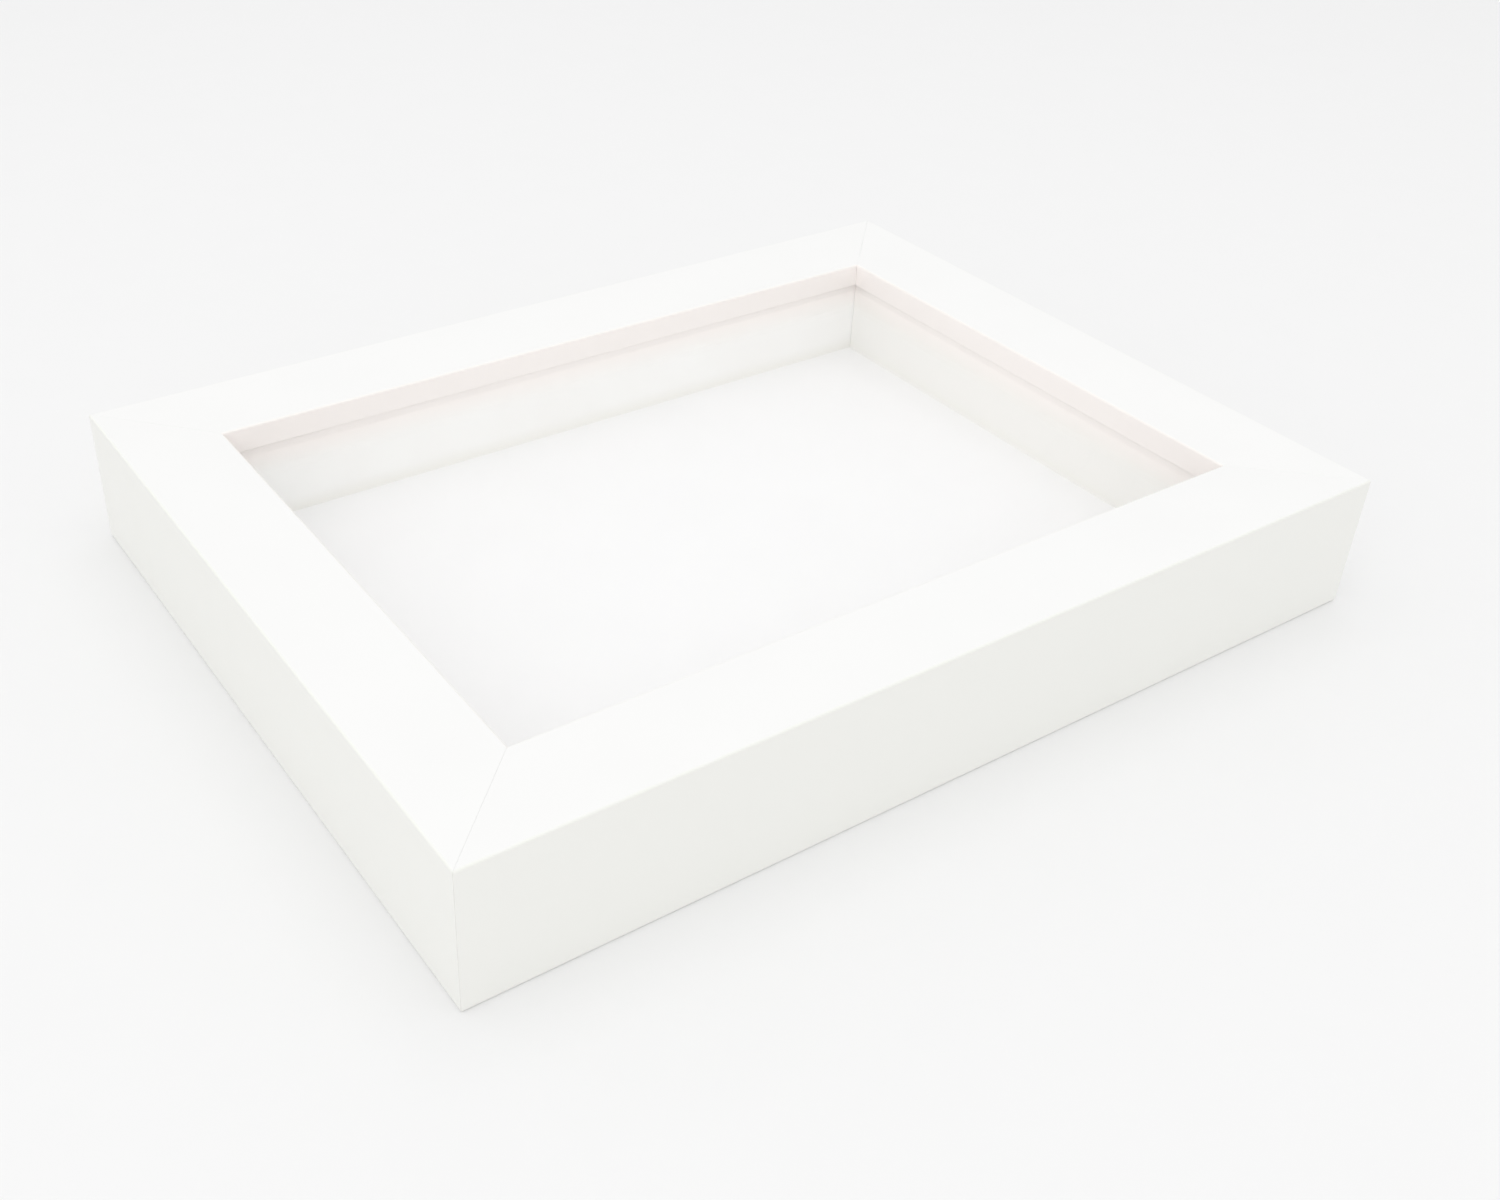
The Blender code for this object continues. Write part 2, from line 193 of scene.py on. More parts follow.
class Net:
    # Short calls for the nodes that the groups and materials are wired from
    def __init__(self, tree):
        self.tree = tree

    def put(self, socket, value):
        if isinstance(value, bpy.types.NodeSocket):
            self.tree.links.new(value, socket)
        elif value is not None:
            socket.default_value = value

    def noise(self, vector, scale, detail=2.0, rough=0.5, distort=0.0):
        node = self.tree.nodes.new("ShaderNodeTexNoise")
        self.put(node.inputs["Vector"], vector)
        self.put(node.inputs["Scale"], scale)
        self.put(node.inputs["Detail"], detail)
        self.put(node.inputs["Roughness"], rough)
        self.put(node.inputs["Distortion"], distort)
        return node.outputs["Fac"]

    def cells(self, vector, scale, feature="F1"):
        node = self.tree.nodes.new("ShaderNodeTexVoronoi")
        node.feature = feature
        self.put(node.inputs["Vector"], vector)
        self.put(node.inputs["Scale"], scale)
        return node.outputs["Distance"]

    def stretch(self, vector, amount):
        node = self.tree.nodes.new("ShaderNodeMapping")
        self.put(node.inputs["Vector"], vector)
        self.put(node.inputs["Scale"], amount)
        return node.outputs["Vector"]

    def place(self):
        return self.tree.nodes.new("ShaderNodeTexCoord").outputs["Object"]

    def axes(self, vector):
        node = self.tree.nodes.new("ShaderNodeSeparateXYZ")
        self.put(node.inputs[0], vector)
        return node.outputs

    def maths(self, operation, a, b=None, clamp=False):
        node = self.tree.nodes.new("ShaderNodeMath")
        node.operation = operation
        node.use_clamp = clamp
        self.put(node.inputs[0], a)
        self.put(node.inputs[1], b)
        return node.outputs[0]

    def span(self, value, fromLow, fromHigh, toLow=0.0, toHigh=1.0):
        node = self.tree.nodes.new("ShaderNodeMapRange")
        self.put(node.inputs["Value"], value)
        self.put(node.inputs["From Min"], fromLow)
        self.put(node.inputs["From Max"], fromHigh)
        self.put(node.inputs["To Min"], toLow)
        self.put(node.inputs["To Max"], toHigh)
        return node.outputs["Result"]

    def mix(self, factor, a, b):
        node = self.tree.nodes.new("ShaderNodeMix")
        node.data_type = "RGBA"
        for socket, value in zip((node.inputs[0], node.inputs[6], node.inputs[7]), (factor, a, b)):
            self.put(socket, value)
        return node.outputs[2]

    def apart(self, a, aMiddle, b, bMiddle):
        # Distance, in the plane of two axes, from a point
        first = self.maths("POWER", self.maths("SUBTRACT", a, aMiddle), 2.0)
        second = self.maths("POWER", self.maths("SUBTRACT", b, bMiddle), 2.0)
        return self.maths("SQRT", self.maths("ADD", first, second))

    def bump(self, height, strength, distance, normal=None):
        node = self.tree.nodes.new("ShaderNodeBump")
        self.put(node.inputs["Height"], height)
        node.inputs["Strength"].default_value = strength
        node.inputs["Distance"].default_value = distance
        self.put(node.inputs["Normal"], normal)
        return node.outputs["Normal"]

    def group(self, tree, **values):
        node = self.tree.nodes.new("ShaderNodeGroup")
        node.node_tree = tree
        for label, value in values.items():
            self.put(node.inputs[label], value)
        return node.outputs


def colour(hexText):
    # A screen colour as the linear values that a shader takes
    steps = [int(hexText[i:i + 2], 16) / 255 for i in (0, 2, 4)]
    linear = [s / 12.92 if s <= 0.04045 else ((s + 0.055) / 1.055) ** 2.4 for s in steps]
    return (*linear, 1.0)


# Kinds of socket on a shader group
vectorKind, colourKind, numberKind = "NodeSocketVector", "NodeSocketColor", "NodeSocketFloat"
skinOutputs = [("Color", colourKind), ("Roughness", numberKind), ("Height", numberKind)]


def makeSurfaceGroups():
    groups = {}

    # A sprayed satin skin: faint mottling, orange peel and the odd dust nib
    groups["paint"], get, give = makeGroup("sprayedPaint", [
        ("Vector", vectorKind, None), ("Tone", colourKind, None), ("Shade", colourKind, None),
        ("Sheen", numberKind, 0.4)], skinOutputs)
    net = Net(groups["paint"])
    mottle = net.noise(get["Vector"], 38, 3)
    peel = net.noise(get["Vector"], 620, 2, 0.45)
    tooth = net.noise(get["Vector"], 2900, 1)
    nibs = net.span(net.cells(get["Vector"], 210), 0.0, 0.045, 1.0, 0.0)
    net.put(give["Color"], net.mix(net.span(mottle, 0.38, 0.66), get["Tone"], get["Shade"]))
    sheenSpread = net.span(net.noise(get["Vector"], 95, 2), 0.3, 0.7, -0.05, 0.05)
    net.put(give["Roughness"], net.maths("ADD", get["Sheen"], sheenSpread, True))
    grit = net.maths("ADD", net.maths("MULTIPLY", tooth, 0.25), net.maths("MULTIPLY", nibs, 0.6))
    net.put(give["Height"], net.maths("ADD", peel, grit))

    # Timber cut along X: growth lines, fine pores and saw marks
    groups["timber"], get, give = makeGroup("sawnTimber", [
        ("Vector", vectorKind, None), ("Early", colourKind, None), ("Late", colourKind, None),
        ("Ring Scale", numberKind, 160.0)], [("Color", colourKind), ("Height", numberKind)])
    net = Net(groups["timber"])
    along = net.stretch(get["Vector"], (0.06, 1.0, 1.0))
    rings = net.noise(along, get["Ring Scale"], 3, 0.55, 0.6)
    pores = net.noise(net.stretch(get["Vector"], (0.05, 1.0, 1.0)), 1900, 2, 0.6)
    saw = net.noise(net.stretch(get["Vector"], (1.0, 0.08, 0.08)), 1300, 1)
    warm = net.mix(net.span(rings, 0.4, 0.62), get["Early"], get["Late"])
    net.put(give["Color"], net.mix(net.span(pores, 0.56, 0.72, 0.0, 0.55), warm, get["Late"]))
    marks = net.maths("MULTIPLY", saw, 0.5)
    net.put(give["Height"], net.maths("ADD", net.maths("MULTIPLY", pores, 0.7), marks))

    # Paper face: matted fibres, long and short
    groups["paper"], get, give = makeGroup("paperFibre", [
        ("Vector", vectorKind, None), ("Tone", colourKind, None), ("Fleck", colourKind, None),
        ("Fleck Amount", numberKind, 0.2)], skinOutputs)
    net = Net(groups["paper"])
    matted = net.noise(get["Vector"], 1500, 4, 0.62, 1.4)
    strands = net.noise(net.stretch(get["Vector"], (0.25, 1.0, 1.0)), 2600, 2, 0.5, 2.0)
    cloud = net.noise(get["Vector"], 60, 2)
    fleck = net.maths("MULTIPLY", net.span(strands, 0.55, 0.75), get["Fleck Amount"])
    spread = net.maths("MULTIPLY", net.span(cloud, 0.35, 0.7), get["Fleck Amount"])
    net.put(give["Color"], net.mix(net.maths("MAXIMUM", fleck, spread), get["Tone"], get["Fleck"]))
    net.put(give["Roughness"], net.span(matted, 0.3, 0.7, 0.78, 0.92))
    net.put(give["Height"], net.maths("ADD", matted, net.maths("MULTIPLY", strands, 0.6)))

    # Plated sheet metal: rolling lines, scuffs and dull spots
    groups["plating"], get, give = makeGroup("platedMetal", [
        ("Vector", vectorKind, None), ("Tone", colourKind, None), ("Dull", colourKind, None),
        ("Sheen", numberKind, 0.3)], skinOutputs)
    net = Net(groups["plating"])
    rolled = net.noise(net.stretch(get["Vector"], (0.03, 1.0, 1.0)), 4200, 2, 0.6)
    scuffs = net.noise(net.stretch(get["Vector"], (1.0, 0.12, 1.0)), 2100, 2, 0.55, 0.8)
    spots = net.span(net.noise(get["Vector"], 700, 3, 0.6), 0.58, 0.75)
    worn = net.maths("MAXIMUM", spots, net.span(scuffs, 0.6, 0.72))
    net.put(give["Color"], net.mix(net.maths("MULTIPLY", worn, 0.7), get["Tone"], get["Dull"]))
    spread = net.maths("ADD", net.maths("MULTIPLY", worn, 0.16), net.span(rolled, 0.3, 0.7, -0.05, 0.08))
    net.put(give["Roughness"], net.maths("ADD", get["Sheen"], spread, True))
    net.put(give["Height"], net.maths("ADD", rolled, net.maths("MULTIPLY", scuffs, 0.6)))

    # How near a point is to one arris that runs along X: 1 on it, 0 beyond the reach
    groups["arris"], get, give = makeGroup("arrisMask", [
        ("Vector", vectorKind, None), ("Arris Y", numberKind, 0.0), ("Arris Z", numberKind, 0.0),
        ("Reach", numberKind, 0.001)], [("Mask", numberKind)])
    net = Net(groups["arris"])
    at = net.axes(get["Vector"])
    away = net.apart(at["Y"], get["Arris Y"], at["Z"], get["Arris Z"])
    net.put(give["Mask"], net.span(away, 0.0, get["Reach"], 1.0, 0.0))

    # Edges of a flat board that lies about its own middle: 1 at the arris, 0 beyond the reach
    groups["rim"], get, give = makeGroup("boardRim", [
        ("Vector", vectorKind, None), ("Half Long", numberKind, 0.1), ("Half Short", numberKind, 0.1),
        ("Reach", numberKind, 0.001)], [("Mask", numberKind)])
    net = Net(groups["rim"])
    at = net.axes(get["Vector"])
    fromEnd = net.maths("SUBTRACT", get["Half Long"], net.maths("ABSOLUTE", at["X"]))
    fromSide = net.maths("SUBTRACT", get["Half Short"], net.maths("ABSOLUTE", at["Y"]))
    away = net.maths("MINIMUM", fromEnd, fromSide)
    net.put(give["Mask"], net.span(away, 0.0, get["Reach"], 1.0, 0.0))
    return groups


surface = makeSurfaceGroups()
print("surface groups made:", ", ".join(surface))


def newMaterial(name, **fixed):
    material = bpy.data.materials.new(name)
    material.use_nodes = True
    net = Net(material.node_tree)
    shader = material.node_tree.nodes["Principled BSDF"]
    for label, value in fixed.items():
        shader.inputs[label.replace("_", " ")].default_value = value
    return material, net, shader.inputs


# Rails

rail = {
    "faceWidth": 21.0 * mm,
    "faceFall": 0.5 * mm,
    "rimWidth": 6.0 * mm,
    "outerRound": 0.42 * mm,
    "sightRound": 0.45 * mm,
    "lipRound": 0.25 * mm,
    "backRound": 0.6 * mm,
    "innerFillet": 0.2 * mm,
    "jointGap": 0.003 * mm,
    "jointEase": 0.035 * mm,
    "screwHole": 1.15 * mm,
    "nailHole": 0.74 * mm,
    "paint": colour("F0F0EF"),
    "paintShade": colour("EFEFEE"),
    # Painted shade for the outer side faces
    "sideShadeTint": colour("EEEEEA"),
    # Painted highlight tint for the rounded arrises
    "arrisHighlightTint": colour("EEEFE8"),
    # Painted warm bounce light for the lip face
    "lipBounceTint": colour("F7F2EF"),
    "earlyWood": colour("D9BE93"),
    "lateWood": colour("B98F5E"),
    "wrapOnBack": 1.1 * mm,
    "sheen": 0.42,
    "ringScale": 170.0,
}


def roundCorners(corners, steps=5):
    # A closed outline of straight runs whose corners are arcs. corners is a list of (across, up, radius).
    outline = []
    count = len(corners)
    for i, (across, up, radius) in enumerate(corners):
        here = Vector((across, up))
        back = (Vector(corners[i - 1][:2]) - here).normalized()
        ahead = (Vector(corners[(i + 1) % count][:2]) - here).normalized()
        half = back.angle(ahead) / 2
        run = radius / (sin(half) / cos(half))
        middle = here + (back + ahead).normalized() * (radius / sin(half))
        start = here + back * run - middle
        end = here + ahead * run - middle
        turn = start.angle_signed(end)
        for k in range(steps + 1):
            angle = -turn * k / steps
            outline.append(middle + Matrix.Rotation(angle, 2) @ start)
    return outline


def railOutline():
    sightHeight = boxDepth - rail["faceFall"]
    return roundCorners([
        (0, 0, rail["backRound"]),
        (0, boxDepth, rail["outerRound"]),
        (rail["faceWidth"], sightHeight, rail["sightRound"]),
        (rail["faceWidth"], lipUnderside, rail["lipRound"]),
        (rabbetWall, lipUnderside, rail["innerFillet"]),
        (rabbetWall, stepDepth, rail["backRound"] / 2),
        (rail["rimWidth"], stepDepth, rail["innerFillet"]),
        (rail["rimWidth"], 0, rail["backRound"] / 2),
    ])


def railMesh(name, half):
    # The moulding between two 45 degree cuts, with the edges of both cuts eased
    outline = railOutline()
    gap = rail["jointGap"] * sqrt(2)
    cuts = []
    for end in (-1, 1):
        cuts.append([(end * (half - point.x - gap), point.x, point.y) for point in outline])
    shape = bmesh.new()
    rows = [[shape.verts.new(point) for point in ring] for ring in cuts]
    bridge(shape, rows[0], rows[1])
    caps = [shape.faces.new(rows[0][::-1]), shape.faces.new(rows[1])]
    bmesh.ops.recalc_face_normals(shape, faces=shape.faces)
    rim = [edge for cap in caps for edge in cap.edges]
    bmesh.ops.bevel(shape, geom=rim, offset=rail["jointEase"], segments=2, profile=0.5, affect="EDGES")
    return finishMesh(name, shape, 35)


def railPaint():
    material, net, sockets = newMaterial("whiteRailPaint", IOR=1.5)
    place = net.place()
    at = net.axes(place)
    paint = net.group(surface["paint"], Vector=place, Tone=rail["paint"], Shade=rail["paintShade"],
                      Sheen=rail["sheen"])
    wood = net.group(surface["timber"], **{
        "Vector": place, "Early": rail["earlyWood"], "Late": rail["lateWood"],
        "Ring Scale": rail["ringScale"]})
    sightHeight = boxDepth - rail["faceFall"]
    # A painted highlight tint lies in patches along the outer and sight arrises
    edges = [(0.0, boxDepth, rail["outerRound"]), (rail["faceWidth"], sightHeight, rail["sightRound"])]
    masks = []
    for arrisY, arrisZ, reach in edges:
        masks.append(net.group(surface["arris"], **{
            "Vector": place, "Arris Y": arrisY, "Arris Z": arrisZ, "Reach": 1.3 * reach})["Mask"])
    patchy = net.span(net.noise(place, 240, 2), 0.3, 0.6)
    edge = net.maths("MULTIPLY", net.maths("MAXIMUM", *masks), patchy)
    # The outer side takes a painted shade, a touch darker and yellower, and the lip a painted warm bounce
    # light
    sideShadeMask = net.span(at["Y"], 0.05 * mm, rail["outerRound"], 1.0, 0.0)
    lipBounceMask = net.span(at["Y"], rail["faceWidth"] - rail["sightRound"], rail["faceWidth"] - 0.02 * mm)
    painted = net.mix(sideShadeMask, paint["Color"], rail["sideShadeTint"])
    painted = net.mix(lipBounceMask, net.mix(edge, painted, rail["arrisHighlightTint"]), rail["lipBounceTint"])
    # Bare wood shows on the back and in the step, where the spray only wrapped over the outer edge
    ragged = net.span(net.noise(place, 170, 4, 0.6), 0.3, 0.7, -0.45 * mm, 0.45 * mm)
    behind = net.span(at["Z"], 0.12 * mm, 0.3 * mm, 1.0, 0.0)
    wrap = rail["wrapOnBack"]
    inward = net.span(net.maths("ADD", at["Y"], ragged), wrap, 1.8 * wrap)
    pastRim = net.span(at["Y"], rail["rimWidth"] - 0.3 * mm, rail["rimWidth"])
    underLip = net.span(at["Z"], lipUnderside - 0.4 * mm, lipUnderside, 1.0, 0.0)
    inStep = net.maths("MULTIPLY", pastRim, underLip)
    bare = net.maths("MAXIMUM", net.maths("MULTIPLY", behind, inward), inStep)
    net.put(sockets["Base Color"], net.mix(bare, painted, wood["Color"]))
    rougher = net.maths("MULTIPLY", bare, 0.3)
    net.put(sockets["Roughness"], net.maths("ADD", paint["Roughness"], rougher, True))
    skin = net.bump(paint["Height"], 0.12, 0.03 * mm)
    woodHeight = net.maths("MULTIPLY", wood["Height"], net.span(bare, 0.0, 1.0, 0.12, 1.0))
    net.put(sockets["Normal"], net.bump(woodHeight, 0.3, 0.05 * mm, skin))
    return material


# V-nails, one pair to a corner, and the kerfs and holes that the metal has made in the wood

# Every fixing that goes straight into a rail, and the radius of its hole
fixings = {f"button_screw_{end}_{hand}": rail["screwHole"]
           for end in ("bottom", "top") for hand in ("left", "right")}
for wayUp in ("landscape", "portrait"):
    fixings |= {f"hanger_nail_{wayUp}_{number}": rail["nailHole"] for number in (1, 2)}

vNail = {"thickness": 0.5 * mm, "curl": 0.35 * mm, "kerf": 0.05 * mm, "ease": 0.08 * mm}

# Each corner: 1 if it is at the right, 1 if it is at the top, and turn
corners = {"bottom_left": (0, 0, 0.0), "bottom_right": (1, 0, pi / 2), "top_right": (1, 1, pi),
           "top_left": (0, 1, 3 * pi / 2)}
cornerSides = {"bottom": ("bottom_left", "bottom_right"), "right": ("bottom_right", "top_right"),
               "top": ("top_right", "top_left"), "left": ("top_left", "bottom_left")}


def vPlace(which, corner):
    low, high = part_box(f"v_nail_{which}_{corner}")
    right, upper, turn = corners[corner]
    apex = Vector(((low, high)[right].x, (low, high)[upper].y, 0))
    return Matrix.Translation(apex) @ Matrix.Rotation(turn, 4, "Z"), low.z, high.z


def vLeg(which, corner):
    low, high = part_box(f"v_nail_{which}_{corner}")
    return high.x - low.x


def vOutline(leg, grow=0.0):
    # A folded strip whose two ends are turned in to pull the joint together
    t = vNail["thickness"]
    curl = vNail["curl"]
    half = [(leg, 0), (leg, t + curl), (leg - 0.7 * t, t + curl), (leg - 1.3 * t, t), (t, t)]
    outline = [Vector((0, 0))] + [Vector(p) for p in half] + [Vector((y, x)) for x, y in half[-2::-1]]
    grown = []
    for before, point, after in zip(outline[-1:] + outline[:-1], outline, outline[1:] + outline[:1]):
        run = (after - before).normalized()
        grown.append(point + Vector((run.y, -run.x)) * grow * sqrt(2))
    return grown


def prismMesh(name, outline, low, high, ease=0.0):
    shape = bmesh.new()
    rows = [[shape.verts.new((x, y, z)) for x, y in outline] for z in (low, high)]
    bridge(shape, rows[0], rows[1])
    shape.faces.new(rows[0][::-1])
    shape.faces.new(rows[1])
    bmesh.ops.recalc_face_normals(shape, faces=shape.faces)
    if ease:
        bmesh.ops.bevel(shape, geom=shape.edges[:], offset=ease, segments=2, profile=0.5, affect="EDGES")
    return finishMesh(name, shape, 40)


def cutAll(piece, cutters):
    # Cuts several separate shapes, given as (mesh, place), out of a piece at once
    shape = bmesh.new()
    for mesh, place in cutters:
        moved = mesh.copy()
        moved.transform(place)
        shape.from_mesh(moved)
        bpy.data.meshes.remove(moved)
    tool = bpy.data.objects.new("cutter", finishMesh("cutter", shape, 30))
    bpy.context.scene.collection.objects.link(tool)
    boolean = piece.modifiers.new("cut", "BOOLEAN")
    boolean.operation = "DIFFERENCE"
    boolean.solver = "EXACT"
    boolean.object = tool
    bake(piece)
    bpy.data.objects.remove(tool, do_unlink=True)


def makeRails(material):
    for side in sides:
        name = side + "_rail"
        half = sides[side][0]
        piece = bpy.data.objects.new("rail", railMesh(name, half))
        bpy.context.scene.collection.objects.link(piece)
        piece.matrix_world = sidePlace(side)
        cutters = []
        for corner in cornerSides[side]:
            for which in ("outer", "inner"):
                place, low, high = vPlace(which, corner)
                outline = vOutline(vLeg(which, corner), vNail["kerf"])
                cutters.append((prismMesh("kerf", outline, -mm, high), place))
        for node, radius in fixings.items():
            low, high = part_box(node)
            middle = sidePlace(side).inverted() @ ((low + high) / 2)
            # A hole goes only into the rail that its fixing stands in
            if 0 < middle.y < rabbetWall and abs(middle.x) < half:
                outline = [point[:2] for point in circlePoints(radius, 0, 24)]
                hole = prismMesh("hole", outline, -mm, high.z + 0.1 * mm)
                cutters.append((hole, sidePlace(side) @ Matrix.Translation((middle.x, middle.y, 0))))
        cutAll(piece, cutters)
        mesh = piece.data
        bpy.data.objects.remove(piece, do_unlink=True)
        mesh.shade_smooth()
        mesh.set_sharp_from_angle(angle=radians(35))
        mesh.name = name
        finished = addPiece("rail_" + side, mesh, sidePlace(side), material, "frame_box",
                            [name])
        flattenNormals(finished)


def makeVNails(material):
    for corner in corners:
        for which in ("outer", "inner"):
            place, low, high = vPlace(which, corner)
            mesh = prismMesh("vNail", vOutline(vLeg(which, corner)), low, high, vNail["ease"])
            addPiece(f"vnail_{which}_{corner}", mesh, place, material, "frame_box",
                     [f"v_nail_{which}_{corner}"])


# Spacers: strips of foam board that stand round the inside and hold the glass up under the lip

spacer = {
    "paper": 0.35 * mm,
    "coreInset": 0.12 * mm,
    "ease": 0.03 * mm,
    "firstSheet": colour("FAFAF8"),
    "secondSheet": colour("F4F3EF"),
    "fleck": colour("F5F3F0"),
    # Painted warm bounce light under the lip, and painted shade along the foot
    "upper": colour("FBF6F3"),
    "foot": colour("F3F2ED"),
    "core": colour("EDEBE4"),
}


def spacerPaper(sheet):
    material, net, sockets = newMaterial("foamBoard" + sheet.capitalize())
    place = net.place()
    paper = net.group(surface["paper"], **{"Vector": place, "Tone": spacer[sheet + "Sheet"],
                                           "Fleck": spacer["fleck"], "Fleck Amount": 0.35})
    at = net.axes(place)
    low, high = localBox("bottom_spacer", sidePlace("bottom"))
    # The foam core shows along the cut edges, between the two papers
    fromMiddle = net.maths("ABSOLUTE", net.maths("SUBTRACT", at["Y"], (high.y + low.y) / 2))
    inner = net.maths("SUBTRACT", (high.y - low.y) / 2 - spacer["paper"], fromMiddle)
    core = net.span(inner, 0.0, 0.04 * mm)
    bubbles = net.cells(place, 3400)
    foam = net.mix(net.span(bubbles, 0.2, 0.6), spacer["core"], spacer["fleck"])
    # The paper takes a painted warm bounce light from the lip along its top and a painted shade along its
    # foot
    upper = net.span(at["Z"], high.z - 5.0 * mm, high.z - 1.0 * mm)
    foot = net.span(at["Z"], low.z, low.z + 3.0 * mm, 1.0, 0.0)
    paperWithPaintedShade = net.mix(foot, net.mix(upper, paper["Color"], spacer["upper"]), spacer["foot"])
    net.put(sockets["Base Color"], net.mix(core, paperWithPaintedShade, foam))
    net.put(sockets["Roughness"], paper["Roughness"])
    pits = net.maths("MULTIPLY", net.maths("MULTIPLY", bubbles, core), 2.0)
    height = net.maths("ADD", paper["Height"], pits)
    net.put(sockets["Normal"], net.bump(height, 0.25, 0.04 * mm))
    return material


def makeSpacers():
    # The right strip is a slightly duller white than the others
    papers = {sheet: spacerPaper(sheet) for sheet in ("first", "second")}
    for side in sides:
        material = papers["second" if side == "right" else "first"]
        place = sidePlace(side)
        low, high = localBox(side + "_spacer", place)
        low.z, high.z = boardHigh.z - contactGap, lipUnderside - paneThickness
        if side in ("left", "right"):
            # The short strips fit between the long ones, with a fine seam left at each end
            low.x, high.x = low.x - 0.7 * contactGap, high.x + 0.7 * contactGap
        paper, sunk = spacer["paper"], spacer["coreInset"]
        # Along the foot and back along the top: paper, the core set in a little, paper
        section = []
        for y, z, inward in ((low.y, low.z, 1), (high.y, high.z, -1)):
            far = high.y if inward > 0 else low.y
            nearCore, farCore = y + inward * paper, far - inward * paper
            section += [(y, z), (nearCore, z), (nearCore, z + inward * sunk), (farCore, z + inward * sunk),
                        (farCore, z), (far, z)]
        shape = bmesh.new()
        rows = [[shape.verts.new((x, y, z)) for y, z in section] for x in (low.x, high.x)]
        bridge(shape, rows[0], rows[1])
        shape.faces.new(rows[0][::-1])
        shape.faces.new(rows[1])
        bmesh.ops.recalc_face_normals(shape, faces=shape.faces)
        topCorners = [(low.y, high.z), (high.y, high.z)]
        near = 0.001 * mm
        arrises = []
        for edge in shape.edges:
            if all(any(abs(v.co.y - y) + abs(v.co.z - z) < near for y, z in topCorners) for v in edge.verts):
                arrises.append(edge)
        bmesh.ops.bevel(shape, geom=arrises, offset=spacer["ease"], segments=3, profile=0.5, affect="EDGES")
        mesh = finishMesh(side + "_spacer", shape, 30)
        piece = addPiece("spacer_" + side, mesh, place, material, "frame_box",
                         [side + "_spacer"])
        flattenNormals(piece)


# Display board

board = {
    "ease": 0.08 * mm,
    "tone": colour("F5F5F5"),
    "fleck": colour("F1F1F1"),
    "edge": colour("E9E7DF"),
}


def makeBoard():
    material, net, sockets = newMaterial("displayBoardPaper")
    place = net.place()
    paper = net.group(surface["paper"], **{"Vector": place, "Tone": board["tone"], "Fleck": board["fleck"],
                                           "Fleck Amount": 0.3})
    rim = net.group(surface["rim"], **{"Vector": place, "Half Long": boardHigh.x, "Half Short": boardHigh.y,
                                       "Reach": 0.25 * mm})["Mask"]
    net.put(sockets["Base Color"], net.mix(rim, paper["Color"], board["edge"]))
    net.put(sockets["Roughness"], paper["Roughness"])
    net.put(sockets["Normal"], net.bump(paper["Height"], 0.22, 0.03 * mm))
    drop = Vector((0, 0, contactGap))
    mesh = easedBlock("displayBoard", boardLow - drop, boardHigh - drop, board["ease"])
    piece = addPiece("board_display", mesh, Matrix(), material, "frame_box",
                     ["display_board"])
    flattenNormals(piece)


# Back panel: hardboard, its screen side out

panel = {
    "ease": 0.18 * mm,
    "tone": colour("7A5536"),
    "dark": colour("5D3E26"),
    "pale": colour("97714C"),
    "screenPitch": 1.1 * mm,
}


def makePanel():
    material, net, sockets = newMaterial("hardboardScreenSide")
    place = net.place()
    at = net.axes(place)
    fibre = net.noise(net.stretch(place, (0.4, 1.0, 1.0)), 900, 4, 0.65, 1.2)
    cloud = net.noise(place, 45, 3)
    chips = net.span(net.cells(net.stretch(place, (0.35, 1.0, 1.0)), 520), 0.05, 0.3, 1.0, 0.0)
    base = net.mix(net.span(fibre, 0.35, 0.65), panel["tone"], panel["dark"])
    base = net.mix(net.maths("MULTIPLY", chips, 0.55), base, panel["pale"])
    base = net.mix(net.span(cloud, 0.4, 0.7, 0.0, 0.35), base, panel["dark"])
    # The cloth screen that the board was pressed on leaves small square dimples on the outer side
    frequency = 2 * pi / panel["screenPitch"]
    waves = [net.maths("SINE", net.maths("MULTIPLY", at[axis], frequency)) for axis in "XY"]
    outside = net.span(at["Z"], panelLow.z + 0.1 * mm, panelLow.z + 0.3 * mm, 1.0, 0.0)
    screen = net.maths("MULTIPLY", net.maths("MULTIPLY", *waves), outside)
    base = net.mix(net.maths("MULTIPLY", net.span(screen, 0.1, 0.9), 0.3), base, panel["pale"])
    # Pale arcs where the button tips have rubbed
    rubs = 0.0
    for corner in corners:
        pivot = buttonPivot(corner)
        away = net.apart(at["X"], pivot.x, at["Y"], pivot.y)
        off = net.maths("ABSOLUTE", net.maths("SUBTRACT", away, button["length"] + 1.2 * mm))
        rubs = net.maths("MAXIMUM", rubs, net.span(off, 0.1 * mm, 0.8 * mm, 1.0, 0.0))
    streaks = net.span(net.noise(place, 1700, 2, 0.6), 0.45, 0.6)
    rubs = net.maths("MULTIPLY", net.maths("MULTIPLY", rubs, outside), net.maths("MULTIPLY", streaks, 0.6))
    net.put(sockets["Base Color"], net.mix(rubs, base, panel["pale"]))
    rough = net.maths("ADD", net.span(fibre, 0.3, 0.7, 0.62, 0.8), net.maths("MULTIPLY", rubs, -0.2), True)
    net.put(sockets["Roughness"], rough)
    height = net.maths("ADD", fibre, net.maths("MULTIPLY", screen, 0.8))
    net.put(sockets["Normal"], net.bump(height, 0.6, 0.08 * mm))
    mesh = easedBlock("backPanel", panelLow, panelHigh, panel["ease"])
    piece = addPiece("panel_back", mesh, Matrix(), material, "frame_box",
                     ["back_panel"])
    flattenNormals(piece)


# Glass pane, with its cut edges rubbed down

pane = {"arris": 0.22 * mm, "tint": colour("FEFEFE"), "edgeTint": colour("D3E6DC")}


